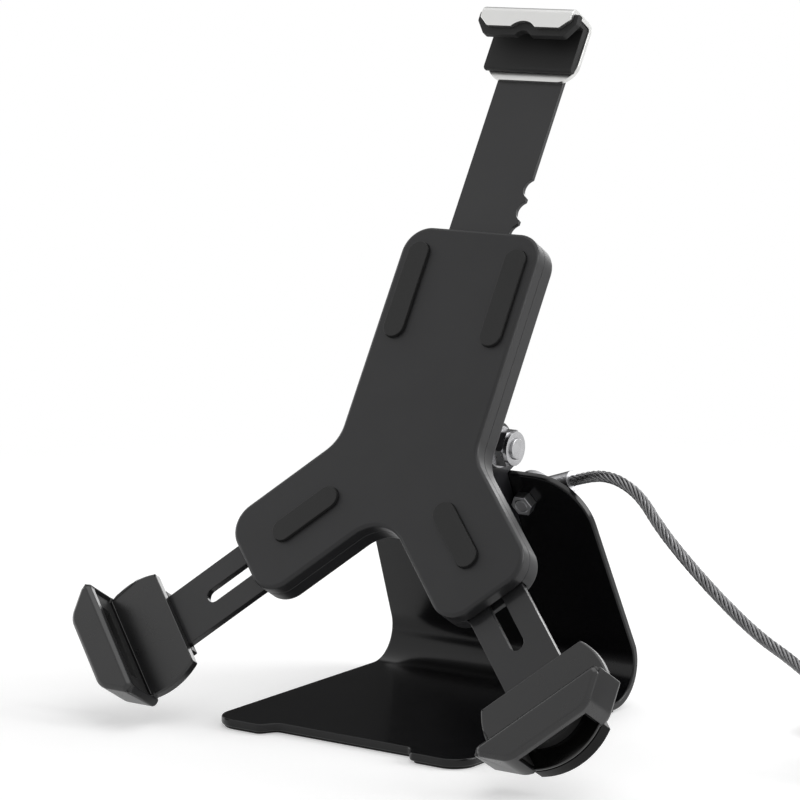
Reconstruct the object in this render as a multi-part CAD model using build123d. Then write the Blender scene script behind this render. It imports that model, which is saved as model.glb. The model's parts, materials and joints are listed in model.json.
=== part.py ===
from build123d import *
import os
from math import cos, hypot, radians, sin, sqrt, tan

# Counter stand that locks a flat device by two lower corners and its top edge.
# Millimetres. X runs to the right, Y to the back, Z up. The origin lies on the table,
# on the plate's centre line. The head's parts are drawn flat: x to the right, y up the
# held face, z out of it, with z zero on the pads that the held back rests on.

os.makedirs("parts", exist_ok=True)
nodes = {}

# The space that the grips hold
held_width = 214.9
held_height = 280.6
held_thickness = 5.9
held_corner_radius = 18.0
held_play = 0.4

# Stance of the head on its hinge
head_lean = 31.4
pivot_back = 16.5
pivot_height = 103.0
pads_ahead_of_pivot = 31.5
hub_above_lower_edge = 120.0

# Fits and overruns
running_gap = 0.05
slip_gap = 0.1
play = 0.3

# Bent steel plate: foot, rear bend and neck
sheet = 3.0
mat_thickness = 1.0
mat_inset = 1.2
foot_half_width = 57.0
foot_front = 63.0
foot_corner_radius = 10.0
lobe_length = 6.2
lobe_width = 25.0
lobe_step = 4.0
lobe_radius = 3.0
bend_start = 42.0
bend_radius = 16.0
neck_lean = 24.0
neck_top_gap = 13.0
neck_top_half_width = 51.0
neck_corner_radius = 22.0

# Hinge yoke, its bolt and the screws that hold it
yoke_half_width = 19.7
yoke_plate = 3.5
yoke_length = 27.0
yoke_corner_radius = 3.0
yoke_top_gap = 1.0
ear_thickness = 3.5
ear_radius = 9.5
ear_foot = 6.0
hinge_bolt_radius = 4.0
washer_thickness = 1.1
washer_radius = 8.0
bolt_head_radius = 7.0
bolt_head_height = 4.2
hex_key_across = 4.0
hex_key_depth = 2.4
hinge_nut_across = 13.0
hinge_nut_height = 6.5
hinge_nut_collar = 1.6
bolt_end_proud = 1.0
yoke_screw_radius = 2.0
yoke_screw_head_radius = 3.8
yoke_screw_head_height = 2.3
yoke_screw_spread = 22.0
yoke_screw_rows = (6.5, 20.5)

# Tilt knuckle with its turning disc
knuckle_half_width = 15.0
knuckle_radius = 9.0
knuckle_web_half_width = 12.5
knuckle_web_half_height = 15.0
disc_radius = 26.0
disc_thickness = 4.0
disc_edge_chamfer = 0.8
spigot_radius = 12.0
slip_ring_thickness = 0.8
slip_ring_width = 11.0
keeper_radius = 20.5
keeper_thickness = 2.0
keeper_room = 2.0
keeper_screw_radius = 1.5
keeper_screw_head_radius = 2.8
keeper_screw_head_height = 1.5
keeper_screw_circle = 7.0
keeper_screw_count = 3
keeper_screw_depth = 9.0

# Hub: two shells that the arms slide between
hub_front = 1.5
hub_parting = 7.2
hub_back = 14.5
hub_floor = 3.2
hub_leg_half_width = 20.0
hub_leg_reach = 78.0
hub_mast_half_width = 31.0
hub_mast_top = 75.0
hub_end_radius = 11.0
hub_crotch_radius = 15.0
hub_edge_round = 1.6
pad_thickness = 2.2
pad_sink = 0.7
pad_width = 9.0
pad_length = 40.0
leg_pad_length = 30.0
cover_screw_radius = 1.5
cover_screw_head_radius = 2.75
cover_screw_head_height = 1.8
cover_screw_sink = 2.4
cover_screw_depth = 9.5
cover_screw_edge = 4.2
cover_screw_mast_edge = 6.0

# Lower arms: slotted bars with a corner grip at the end
arm_width = 24.0
arm_thickness = 3.0
arm_rear = 11.0
arm_inner_reach = 50.0
arm_past_corner_centre = 15.0
arm_end_radius = 8.0
arm_in = 35.0
arm_out = 5.0
clamp_from_leg_end = 16.0
clamp_screw_radius = 2.5
clamp_head_radius = 5.2
clamp_head_height = 3.0
clamp_washer_radius = 6.5
clamp_washer_thickness = 1.0
clamp_screw_depth = 11.0
clamp_slot_half_width = 2.9

# Corner grips
grip_wall = 3.5
grip_outside = 8.7
grip_wall_end = 12.3
grip_front = 11.5
grip_wall_front = 9.6
grip_lip_inner = 8.1
grip_lip_outer = 20.7
grip_lip_half_length = 26.0
grip_lip_radius = 8.0
grip_tip_radius = 2.2
grip_bevel = 1.4
grip_wall_back_round = 3.0
grip_floor_front = 4.2
grip_floor_back = 8.0
grip_disc_radius = 25.4
grip_disc_round = 1.0
grip_inner_reach = 12.5
window_half_width = 14.4
liner_lip = 0.9
liner_inset = 1.0
liner_gap = 0.1
liner_pad_inset = 0.8
end_cap_radius = 25.0
end_cap_half_width = 15.0
end_cap_floor = 1.2
end_cap_rim = 1.6
end_cap_rim_height = 2.4
end_cap_edge_round = 0.8
end_cap_gap = 0.15
grip_screw_radius = 1.5
grip_screw_head_radius = 2.9
grip_screw_head_height = 1.7
grip_screw_spread = 12.0
grip_screw_reach = 2.0
grip_screw_bite = 2.6

# Top arm: notched bar, bent hook and its rubber
mast_half_width = 15.0
mast_thickness = 1.9
mast_rear = 7.0
mast_foot = 20.0
mast_head_gap = 7.0
mast_corner_radius = 6.0
notch_pitch = 9.5
notches_in = 5
notches_out = 1
hook_half_width = 20.6
hook_above_edge = 4.4
hook_front = 11.3
hook_drop = 4.7
hook_shoulder_rise = 3.7
hook_bend_radius = 1.3
hook_leg_length = 25.0
hook_chin = 16.4
hook_arch_half_width = 5.5
hook_arch_height = 2.4
hook_corner_radius = 1.3
hook_leg_radius = 8.0
rivet_radius = 2.0
rivet_head_radius = 3.6
rivet_head_height = 1.2
rivet_spread = 17.0
rivet_above_leg_foot = 8.0
trim_border = 1.9
trim_bottom = 2.7
trim_shoulder_rise = 5.6
trim_side_gap = 0.6
trim_lining = 2.0
trim_arch_half_width = 3.4
trim_arch_height = 2.0
trim_tip_radius = 1.5
trim_back_length = 22.0

# Key lock that holds the top arm
lock_row = 48.0
lock_from_bar_edge = 1.8
lock_barrel_radius = 7.0
lock_barrel_proud = 4.0
lock_flange_radius = 9.0
lock_flange_thickness = 1.5
lock_plug_radius = 4.4
lock_plug_proud = 0.6
lock_cam_radius = 4.0
lock_stem_radius = 2.5
notch_radius = 4.3
keyway_radius = 2.9
keyway_wall = 0.8
keyway_depth = 4.0

# Steel rope: its anchor on the neck, its coil and its end loop
rope_radius = 2.2
rope_length = 1800.0
anchor_from_centre = 25.0
anchor_below_pivot = 24.5
anchor_spacer = 2.2
anchor_ring_radius = 8.0
anchor_ring_thickness = 4.0
anchor_ferrule_radius = 4.0
anchor_ferrule_length = 12.0
anchor_rise = 20.0
anchor_washer_radius = 5.5
anchor_screw_radius = 2.5
anchor_head_radius = 5.0
anchor_head_height = 2.8
anchor_nut_across = 8.0
anchor_nut_height = 4.0
coil_centre_x = 200.0
coil_centre_y = 40.0
coil_mid_radius = 25.0
coil_pitch = 5.8
coil_layer_pitch = 4.9
coil_lift = 0.8
coil_layers = 4
coil_half_turns = 4
end_ferrule_length = 14.0
end_ferrule_height = 6.0
end_ferrule_width = 10.6
eye_half_width = 14.0
eye_length = 45.0
eye_neck = 6.0
eye_shoulder = 20.0
eye_neck_radius = 12.0
eye_round = 13.9
strand_offset = 2.5
tie_width = 9.0
tie_thickness = 0.5
tie_gap = 0.3
run_share = 0.45
gap_step = 1.0
rope_route = [
    (53.2, 30.1, 93.5),
    (61.6, 29.0, 93.9),
    (69.8, 28.0, 91.7),
    (77.0, 27.2, 87.1),
    (83.7, 26.4, 78.9),
    (95.0, 25.0, 68.6),
    (112.0, 23.8, 54.8),
    (129.5, 21.8, 43.4),
    (144.5, 19.0, 37.6),
    (159.5, 14.4, 30.8),
    (172.0, 10.6, 23.4),
    (184.5, 9.2, 17.7),
]


# Places worked out from the sizes above
def on_head(part):
    """Lay a part drawn flat on the head's leaning plane."""
    return head_plane.location * part


def on_neck(part):
    """Lay a part drawn in the neck's plane, x across, y up, z to the front."""
    return neck_plane.location * part


def slab(face, low, high):
    """A flat outline given thickness between two heights."""
    return extrude(Location((0, 0, low)) * face, amount=high - low)


def rounded(points, radii):
    """A closed flat outline, each corner with its own radius."""
    return make_face(FilletPolyline(*points, radius=radii, close=True))


def rod(radius, low, high, x=0, y=0):
    """A round bar along z between two heights."""
    return slab(Location((x, y, 0)) * Circle(radius), low, high)


def cross_rod(radius, left, right, y=0, z=0):
    """A round bar along x."""
    turned = Rotation(0, right_angle, 0) * rod(radius, left, right)
    return Location((0, y, z)) * turned


def nut(across_flats, low, high):
    """A hexagonal prism along z."""
    return slab(RegularPolygon(across_flats / 2, 6, major_radius=False), low, high)


def block(x_range, y_range, z_range):
    """A block between two corners."""
    size = [high - low for low, high in (x_range, y_range, z_range)]
    middle = [(low + high) / 2 for low, high in (x_range, y_range, z_range)]
    return Location(tuple(middle)) * Box(*size)


right_angle = 90.0
lean = radians(head_lean)
head_normal = Vector(0, -cos(lean), sin(lean))
pivot = Vector(0, pivot_back, pivot_height)
head_plane = Plane(pivot + head_normal * pads_ahead_of_pivot, Axis.X.direction, head_normal)
slope = radians(neck_lean)
neck_normal = Vector(0, -cos(slope), -sin(slope))
neck_plane = Plane(pivot, Axis.X.direction, neck_normal)

bend_centre = Vector(0, bend_start, mat_thickness + bend_radius)
neck_rear = (bend_centre - pivot).dot(neck_normal) - bend_radius
neck_front = neck_rear + sheet
neck_foot = (bend_centre - pivot).dot(neck_plane.y_dir)
neck_top = -neck_top_gap

# The crossing of the two lower arms' axes, and the frame of the right-hand corner
corner_centre_x = held_width / 2 - held_corner_radius
corner_centre_y = held_corner_radius - hub_above_lower_edge
arm_cross_y = corner_centre_y + corner_centre_x
arm_to_corner = hypot(corner_centre_x, corner_centre_x)
corner_plane = Plane((corner_centre_x, corner_centre_y, 0), (1, 1, 0), Axis.Z.direction)
held_top = held_height - hub_above_lower_edge
held_room = held_thickness + held_play


def on_corner(part):
    """Lay a part drawn along a lower arm, y toward the hub, on the head's plane."""
    return corner_plane.location * part


def add(name, part):
    """Name a part that already lies in the model's frame."""
    nodes[name] = part


def add_pair(name, part):
    """Name a head part on the right and its mirror image on the left."""
    twins = [mirror(solid, about=Plane.YZ) for solid in part.solids()]
    nodes[name + "_right"] = on_head(part)
    nodes[name + "_left"] = on_head(twins[0] if len(twins) == 1 else Compound(children=twins))


# Bent plate and its mat
def lobed_outline(inset):
    """The foot's outline with two lobes at the front, drawn in by an inset."""
    side = foot_half_width - inset
    front = inset - foot_front
    middle = front + lobe_length
    outer = foot_half_width - lobe_width + lobe_step / 2 + inset
    inner = outer - lobe_step
    right = [(side, bend_start), (side, front), (outer, front), (inner, middle)]
    left = [(-x, y) for x, y in reversed(right)]
    corner = foot_corner_radius - inset
    radii = [0, corner, lobe_radius, lobe_radius]
    return rounded(right + left, radii + radii[::-1])


def base_plate():
    """Foot, rear bend and neck, one sheet of steel."""
    top = mat_thickness + sheet
    foot = slab(lobed_outline(0), mat_thickness, top)
    strip_middle = (0, bend_start, mat_thickness + sheet / 2)
    strip_plane = Plane(strip_middle, Axis.X.direction, Axis.Y.direction)
    strip = strip_plane.location * Rectangle(foot_half_width * 2, sheet)
    bend = revolve(strip, Axis(bend_centre, Axis.X.direction), right_angle + neck_lean)
    corners = [(foot_half_width, neck_foot), (neck_top_half_width, neck_top)]
    corners += [(-x, y) for x, y in reversed(corners)]
    neck_face = rounded(corners, [0, neck_corner_radius, neck_corner_radius, 0])
    neck = on_neck(slab(neck_face, neck_rear, neck_front))
    plate = foot + bend + neck
    for x, y in yoke_screw_places:
        plate -= on_neck(rod(yoke_screw_radius + slip_gap, neck_rear, neck_front, x, y))
    hole = anchor_screw_radius + slip_gap
    return plate - on_neck(rod(hole, neck_rear, neck_front, *anchor_place))


yoke_top = neck_top - yoke_top_gap
yoke_bottom = yoke_top - yoke_length
yoke_front = neck_front + yoke_plate
yoke_screw_places = [
    (side * yoke_screw_spread / 2, yoke_top - drop)
    for side in (-1, 1)
    for drop in yoke_screw_rows
]
anchor_place = (anchor_from_centre, -anchor_below_pivot)

add("base_plate", base_plate())
add("base_mat", slab(lobed_outline(mat_inset), 0, mat_thickness))


# Hinge yoke, screwed to the neck's front
def hinge_yoke():
    """A plate with two ears that carry the hinge bolt."""
    middle = (yoke_top + yoke_bottom) / 2
    outline = RectangleRounded(yoke_half_width * 2, yoke_length, yoke_corner_radius)
    yoke = slab(Location((0, middle, 0)) * outline, neck_front, yoke_front)
    eye = Circle(ear_radius)
    foot_height = yoke_length - ear_foot
    foot_middle = (-(yoke_front + neck_front) / 2, yoke_top - foot_height / 2)
    foot = Location(foot_middle) * Rectangle(yoke_plate, foot_height)
    ear_face = make_hull([*eye.edges(), *foot.edges()])
    ear_plane = Plane((0, 0, 0), (0, 0, -1), Axis.X.direction)
    ear = extrude(ear_plane.location * ear_face, amount=ear_thickness)
    for inner in (yoke_half_width - ear_thickness, -yoke_half_width):
        yoke += Location((inner, 0, 0)) * ear
    behind = (neck_rear * 2, neck_front)
    over_neck = (yoke_bottom * 2, neck_top + play)
    across = (-foot_half_width, foot_half_width)
    yoke -= block(across, over_neck, behind)
    yoke -= cross_rod(hinge_bolt_radius + slip_gap, -foot_half_width, foot_half_width)
    for x, y in yoke_screw_places:
        yoke -= rod(yoke_screw_radius + slip_gap, neck_front, yoke_front, x, y)
    return on_neck(yoke)


def screw(radius, length, head_radius, head_height, key_across=0, key_depth=0):
    """A screw pointing up z, its head below z zero, with a hexagonal key hole."""
    head = rod(head_radius, -head_height, 0)
    head = chamfer(head.faces().sort_by(Axis.Z)[0].edges(), head_height / 4)
    whole = head + rod(radius, 0, length)
    if key_across:
        whole -= nut(key_across, -head_height, key_depth - head_height)
    return whole


def at_places(part, places, height):
    """Copies of a part side by side, kept apart as separate solids."""
    return Compound(children=[Location((x, y, height)) * part for x, y in places])


yoke_screw = screw(
    yoke_screw_radius,
    yoke_front - neck_rear,
    yoke_screw_head_radius,
    yoke_screw_head_height,
    yoke_screw_radius,
    yoke_screw_head_height / 2,
)
add("hinge_yoke", hinge_yoke())
add("yoke_screws", on_neck(at_places(yoke_screw, yoke_screw_places, neck_rear)))


# Hinge bolt with its washers and lock nut, along x through the pivot
def washer(outer, inner, low, high):
    """A flat ring along z."""
    return rod(outer, low, high) - rod(inner, low, high)


def along_pivot(part):
    """Lay a part drawn up z along the pivot's axis, z toward the right."""
    return Plane(pivot, Axis.Y.direction, Axis.X.direction).location * part


washer_bore = hinge_bolt_radius + slip_gap
washer_outside = yoke_half_width + washer_thickness
inner_washer_low = knuckle_half_width + running_gap
nut_top = washer_outside + hinge_nut_height
bolt_length = washer_outside + nut_top + bolt_end_proud
hinge_bolt = screw(
    hinge_bolt_radius, bolt_length, bolt_head_radius, bolt_head_height, hex_key_across, hex_key_depth
)
hinge_bolt = Location((0, 0, -washer_outside)) * hinge_bolt
hinge_nut = nut(hinge_nut_across, washer_outside, nut_top - hinge_nut_collar)
hinge_nut += rod(hinge_nut_across / 2, washer_outside, nut_top)
hinge_nut -= rod(hinge_bolt_radius + slip_gap, washer_outside, nut_top)
washer_spans = [
    (yoke_half_width, washer_outside),
    (inner_washer_low, inner_washer_low + washer_thickness),
]
washers = [
    washer(washer_radius, washer_bore, low * side, high * side)
    for low, high in washer_spans
    for side in (-1, 1)
]
add("hinge_bolt", along_pivot(hinge_bolt))
add("hinge_nut", along_pivot(hinge_nut))
add("hinge_washers", along_pivot(Compound(children=washers)))


# Tilt knuckle: it swings on the bolt and carries the disc that the hub turns on
hinge_depth = -pads_ahead_of_pivot
slip_ring_rear = -(hub_back + running_gap + slip_ring_thickness)
disc_front = slip_ring_rear
disc_rear = disc_front - disc_thickness
floor_front = hub_floor - hub_back
keeper_low = floor_front + running_gap
keeper_high = keeper_low + keeper_thickness
keeper_places = [
    (keeper_screw_circle * cos(turn), keeper_screw_circle * sin(turn))
    for turn in (
        radians(right_angle + step * right_angle * 4 / keeper_screw_count)
        for step in range(keeper_screw_count)
    )
]


def tilt_knuckle():
    """Barrel, web, disc and spigot, one casting."""
    barrel = cross_rod(knuckle_radius, -knuckle_half_width, knuckle_half_width, 0, hinge_depth)
    eye = Location((-hinge_depth, 0)) * Circle(knuckle_radius - play)
    root = Location((-disc_rear, 0)) * Rectangle(running_gap * 2, knuckle_web_half_height * 2)
    web_face = make_hull([*eye.edges(), *root.edges()])
    web_plane = Plane((-knuckle_web_half_width, 0, 0), (0, 0, -1), Axis.X.direction)
    web = extrude(web_plane.location * web_face, amount=knuckle_web_half_width * 2)
    disc = rod(disc_radius, disc_rear, disc_front)
    disc = chamfer(disc.faces().sort_by(Axis.Z)[0].edges(), disc_edge_chamfer)
    casting = barrel + web + disc + rod(spigot_radius, disc_front, keeper_low)
    bolt_bore = hinge_bolt_radius + running_gap
    casting -= cross_rod(bolt_bore, -knuckle_half_width, knuckle_half_width, 0, hinge_depth)
    tapped = keeper_screw_radius + slip_gap
    for x, y in keeper_places:
        casting -= rod(tapped, keeper_high - keeper_screw_depth - slip_gap, keeper_low, x, y)
    return casting


def keeper():
    """The washer that holds the hub on the knuckle's spigot."""
    plate = rod(keeper_radius, keeper_low, keeper_high)
    for x, y in keeper_places:
        plate -= rod(keeper_screw_radius + slip_gap, keeper_low, keeper_high, x, y)
    return plate


keeper_screw = Rotation(right_angle * 2, 0, 0) * screw(
    keeper_screw_radius,
    keeper_screw_depth,
    keeper_screw_head_radius,
    keeper_screw_head_height,
    keeper_screw_radius,
    keeper_screw_head_height / 2,
)
slip_ring_inner = disc_radius - slip_ring_width
slip_ring = washer(disc_radius - play, slip_ring_inner, slip_ring_rear, -hub_back - running_gap)
add("tilt_knuckle", on_head(tilt_knuckle()))
add("slip_ring", on_head(slip_ring))
add("turn_keeper", on_head(keeper()))
add("keeper_screws", on_head(at_places(keeper_screw, keeper_places, keeper_high)))


# Hub covers: the rear one has the channels of the lower arms, the front one the mast's
def leg_point(reach, aside=0):
    """A place on the right leg, by reach from the crossing and distance to the upper side."""
    along = Vector(1, -1) * (reach / sqrt(2))
    across = Vector(1, 1) * (aside / sqrt(2))
    place = along + across
    return (place.X, place.Y + arm_cross_y)


def mirrored_places(place):
    """A place on the right and its twin on the left."""
    return [place, (-place[0], place[1])]


def hub_outline():
    """Mast at the top and two splayed legs."""
    half = hub_leg_half_width * sqrt(2)
    shoulder = (hub_mast_half_width, arm_cross_y + half - hub_mast_half_width)
    right = [
        (hub_mast_half_width, hub_mast_top),
        shoulder,
        leg_point(hub_leg_reach, hub_leg_half_width),
        leg_point(hub_leg_reach, -hub_leg_half_width),
    ]
    crotch = (0, arm_cross_y - half)
    left = [(-x, y) for x, y in reversed(right)]
    radii = [hub_end_radius, hub_crotch_radius, hub_end_radius, hub_end_radius]
    return rounded(right + [crotch] + left, radii + [hub_crotch_radius] + radii[::-1])


arm_bottom = -arm_rear
arm_top = arm_thickness - arm_rear
mast_low = -mast_rear
mast_high = mast_thickness - mast_rear
mast_channel_high = mast_high + slip_gap * 2
mast_travel_in = notch_pitch * notches_in
lock_x = mast_half_width + lock_from_bar_edge
lock_place = (lock_x, lock_row)
lock_pocket = notch_radius + slip_gap
lock_seat = -hub_parting - pad_thickness + pad_sink
clamp_reach = hub_leg_reach - clamp_from_leg_end
clamp_places = mirrored_places(leg_point(clamp_reach))
cover_screw_places = mirrored_places(
    (hub_mast_half_width - cover_screw_mast_edge, hub_mast_top - cover_screw_mast_edge)
)
cover_screw_places += mirrored_places(
    leg_point(hub_leg_reach - hub_end_radius, hub_leg_half_width - cover_screw_edge)
)
cover_seat = cover_screw_sink - hub_back
cover_screw_end = cover_seat + cover_screw_depth
clamp_seat = -hub_back - clamp_washer_thickness
clamp_end = clamp_seat + clamp_screw_depth


def pad_faces():
    """Outlines of the four rubber pads on the hub's front."""
    mast_pad = Rotation(0, 0, right_angle) * SlotOverall(pad_length, pad_width)
    leg_pad = Rotation(0, 0, -right_angle / 2) * SlotOverall(leg_pad_length, pad_width)
    side_x = hub_mast_half_width - pad_width
    leg_middle = leg_point(hub_leg_reach - leg_pad_length)
    faces = [Location((side_x, lock_row)) * mast_pad, Location(leg_middle) * leg_pad]
    return faces + [mirror(face, about=Plane.YZ) for face in faces]


def front_cover():
    """The shell that faces the held back, with the mast's channel behind."""
    shell = slab(hub_outline(), -hub_parting, -hub_front)
    shell = fillet(shell.faces().sort_by(Axis.Z)[-1].edges(), hub_edge_round)
    foot = mast_foot - mast_travel_in - play
    half = mast_half_width + play
    shell -= block((-half, half), (foot, hub_mast_top * 2), (-hub_parting, mast_channel_high))
    shell -= rod(lock_pocket, -hub_parting, mast_channel_high, *lock_place)
    for face in pad_faces():
        shell -= slab(face, -hub_front - pad_sink, -hub_front)
    for x, y in cover_screw_places:
        shell -= rod(cover_screw_radius + slip_gap, -hub_parting, cover_screw_end + play, x, y)
    for x, y in clamp_places:
        shell -= rod(clamp_screw_radius + slip_gap, -hub_parting, clamp_end + play, x, y)
    return shell


def arm_channel():
    """The space of one lower arm inside the rear cover, right-hand side."""
    half = arm_width / 2 + play
    inner = arm_to_corner - arm_inner_reach + arm_in + play
    outer = arm_to_corner - hub_leg_reach * 2
    return on_corner(block((-half, half), (outer, inner), (floor_front, -hub_parting)))


def rear_cover():
    """The shell behind, with the turning bore, arm channels and lock hole."""
    shell = slab(hub_outline(), -hub_back, -hub_parting)
    shell = fillet(shell.faces().sort_by(Axis.Z)[0].edges(), hub_edge_round)
    channel = arm_channel()
    shell -= channel
    shell -= mirror(channel, about=Plane.YZ)
    shell -= rod(keeper_radius + keeper_room, floor_front, -hub_parting)
    shell -= rod(spigot_radius + running_gap, -hub_back, floor_front)
    shell -= rod(lock_barrel_radius + slip_gap, -hub_back, lock_seat, *lock_place)
    shell -= rod(lock_pocket, lock_seat, -hub_parting, *lock_place)
    for x, y in cover_screw_places:
        shell -= rod(cover_screw_radius + slip_gap, -hub_back, -hub_parting, x, y)
        shell -= rod(cover_screw_head_radius + play, -hub_back, cover_seat, x, y)
    for x, y in clamp_places:
        shell -= rod(clamp_screw_radius + slip_gap, -hub_back, -hub_parting, x, y)
    return shell


cover_screw = screw(
    cover_screw_radius,
    cover_screw_depth,
    cover_screw_head_radius,
    cover_screw_head_height,
    cover_screw_radius,
    cover_screw_head_height / 2,
)
clamp_screw = screw(
    clamp_screw_radius,
    clamp_screw_depth,
    clamp_head_radius,
    clamp_head_height,
    clamp_screw_radius * 2 - slip_gap,
    clamp_head_height / 2,
)
clamp_washer = washer(clamp_washer_radius, clamp_screw_radius + slip_gap, 0, clamp_washer_thickness)
pads = [slab(face, -hub_front - pad_sink, 0) for face in pad_faces()]
add("front_cover", on_head(front_cover()))
add("rear_cover", on_head(rear_cover()))
add("hub_pads", on_head(Compound(children=pads)))
add("cover_screws", on_head(at_places(cover_screw, cover_screw_places, cover_seat)))
add("arm_clamp_screws", on_head(at_places(clamp_screw, clamp_places, clamp_seat)))
add("arm_clamp_washers", on_head(at_places(clamp_washer, clamp_places, clamp_seat)))


# Lock: a barrel in the rear cover and a plug whose cam fills a notch of the mast
def lock_barrel():
    """A flanged sleeve for the plug."""
    back = -hub_back - lock_barrel_proud
    sleeve = rod(lock_barrel_radius, back, lock_seat - running_gap)
    sleeve += rod(lock_flange_radius, -hub_back - lock_flange_thickness, -hub_back)
    sleeve -= rod(lock_plug_radius + running_gap, back, lock_seat)
    return Location(lock_place) * sleeve


def lock_plug():
    """Plug with a round keyway at the back and a cut cam at the front."""
    back = -hub_back - lock_barrel_proud - lock_plug_proud
    plug = rod(lock_plug_radius, back, lock_seat - play)
    plug -= washer(keyway_radius, keyway_radius - keyway_wall, back, back + keyway_depth)
    cam = rod(lock_cam_radius, mast_low, mast_high)
    reach = lock_from_bar_edge - play
    beside = (-lock_cam_radius * 2, -reach)
    cam -= block(beside, (-lock_cam_radius, lock_cam_radius), (mast_low, mast_high))
    neck = lock_from_bar_edge - play * 2
    stem = rod(neck, lock_seat - play, mast_low)
    return Location(lock_place) * (plug + stem + cam)


add("lock_barrel", on_head(lock_barrel()))
add("lock_plug", on_head(lock_plug()))


# Top arm: notched mast, hook and rubber
def top_arm_bar():
    """Flat bar with notches down its right edge."""
    height = hook_top - mast_head_gap - mast_foot
    outline = RectangleRounded(mast_half_width * 2, height, mast_corner_radius)
    bar = slab(Location((0, mast_foot + height / 2)) * outline, mast_low, mast_high)
    for step in range(-notches_out, notches_in + 1):
        place = (lock_x, lock_row + step * notch_pitch)
        bar -= rod(notch_radius, mast_low, mast_high, *place)
    for place in rivet_places:
        bar -= rod(rivet_radius + slip_gap, mast_low, mast_high, *place)
    return bar


def chin_outline(half_width, top, bottom, chin, shoulder_rise, radius, arch):
    """A lip seen from the front: straight sides, slanting chin, round arch in the middle."""
    right = [(half_width, top), (half_width, bottom + shoulder_rise), (chin, bottom)]
    left = [(-x, y) for x, y in reversed(right)]
    radii = [0, radius, radius]
    arch_half_width, arch_height = arch
    arch_radius = (arch_half_width**2 + arch_height**2) / (arch_height * 2)
    arch_face = Location((0, bottom + arch_height - arch_radius)) * Circle(arch_radius)
    return rounded(right + left, radii + radii[::-1]) - arch_face


hook_top = held_top + hook_above_edge
hook_leg_foot = hook_top - hook_leg_length
hook_leg_low = mast_high
hook_leg_high = mast_high + mast_thickness
rivet_places = mirrored_places((rivet_spread / 2, hook_leg_foot + rivet_above_leg_foot))
side_plane = Plane((0, 0, 0), Axis.Y.direction, Axis.X.direction)


def across_head(face, half_width):
    """Thicken a side view, drawn y across and z up, by a half width each way."""
    placed = side_plane.location * face
    return Location((-half_width, 0, 0)) * extrude(placed, amount=half_width * 2)


def top_clamp_hook():
    """Strip bent over the held top edge."""
    outer = hook_bend_radius + mast_thickness
    inside_top = hook_top - mast_thickness
    lip_low = hook_front - mast_thickness
    lip_end = held_top - hook_drop
    points = [
        (hook_leg_foot, hook_leg_low),
        (hook_top, hook_leg_low),
        (hook_top, hook_front),
        (lip_end, hook_front),
        (lip_end, lip_low),
        (inside_top, lip_low),
        (inside_top, hook_leg_high),
        (hook_leg_foot, hook_leg_high),
    ]
    inner = hook_bend_radius
    side = rounded(points, [0, outer, outer, 0, 0, inner, inner, 0])
    strip = across_head(side, hook_half_width)
    chin = chin_outline(
        hook_half_width,
        hook_top + play,
        lip_end,
        hook_chin,
        hook_shoulder_rise,
        hook_corner_radius,
        (hook_arch_half_width, hook_arch_height),
    )
    lip_zone = slab(chin, lip_low - play, hook_front + play)
    leg_middle = (hook_leg_foot + hook_top + hook_leg_radius) / 2
    leg_height = hook_top + hook_leg_radius - hook_leg_foot
    leg_face = RectangleRounded(hook_half_width * 2, leg_height, hook_leg_radius)
    leg_zone = slab(Location((0, leg_middle)) * leg_face, hook_leg_low - play, lip_low - play)
    strip = strip & (lip_zone + leg_zone)
    for place in rivet_places:
        strip -= rod(rivet_radius + slip_gap, hook_leg_low, hook_leg_high, *place)
    return strip


def top_clamp_trim():
    """Rubber inside the hook, showing as a border round its lip."""
    half = hook_half_width + trim_border
    inner_half = hook_half_width - trim_side_gap
    back_foot = hook_top - trim_back_length
    top = hook_top - mast_thickness
    inside_top = top - trim_lining
    lip_high = hook_front - mast_thickness
    lip_end = held_top - hook_drop - trim_bottom
    points = [
        (back_foot, hook_leg_high),
        (top, hook_leg_high),
        (top, lip_high),
        (lip_end, lip_high),
        (lip_end, held_room),
        (inside_top, held_room),
        (inside_top, 0),
        (back_foot, 0),
    ]
    bend = hook_bend_radius
    side = rounded(points, [bend, bend, bend, 0, 0, 0, 0, bend])
    rubber = across_head(side, half)
    chin = chin_outline(
        half,
        top + play,
        lip_end,
        hook_chin + trim_border,
        trim_shoulder_rise,
        trim_tip_radius,
        (trim_arch_half_width, trim_arch_height),
    )
    lip_zone = slab(chin, held_room, lip_high)
    body_zone = block((-inner_half, inner_half), (back_foot, top), (hook_leg_high, held_room))
    return rubber & (lip_zone + body_zone)


rivet = screw(rivet_radius, hook_leg_high - mast_low, rivet_head_radius, rivet_head_height)
add("top_arm_bar", on_head(top_arm_bar()))
add("top_clamp_hook", on_head(top_clamp_hook()))
add("top_clamp_trim", on_head(top_clamp_trim()))
add("top_clamp_rivets", on_head(at_places(rivet, rivet_places, mast_low)))


# Lower arms with their grips, drawn in the right-hand corner's frame
def arm_bar():
    """Flat bar with the clamp screw's slot."""
    inner = arm_to_corner - arm_inner_reach
    length = inner + arm_past_corner_centre
    outline = RectangleRounded(arm_width, length, arm_end_radius)
    bar = slab(Location((0, inner - length / 2)) * outline, arm_bottom, arm_top)
    slot_middle = arm_to_corner - clamp_reach - (arm_in - arm_out) / 2
    slot_face = SlotCenterToCenter(arm_in + arm_out, clamp_slot_half_width * 2)
    slot_face = Rotation(0, 0, right_angle) * slot_face
    bar -= slab(Location((0, slot_middle)) * slot_face, arm_bottom, arm_top)
    for place in grip_screw_places:
        bar -= rod(grip_screw_radius + slip_gap, arm_bottom, arm_top, *place)
    return bar


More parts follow.
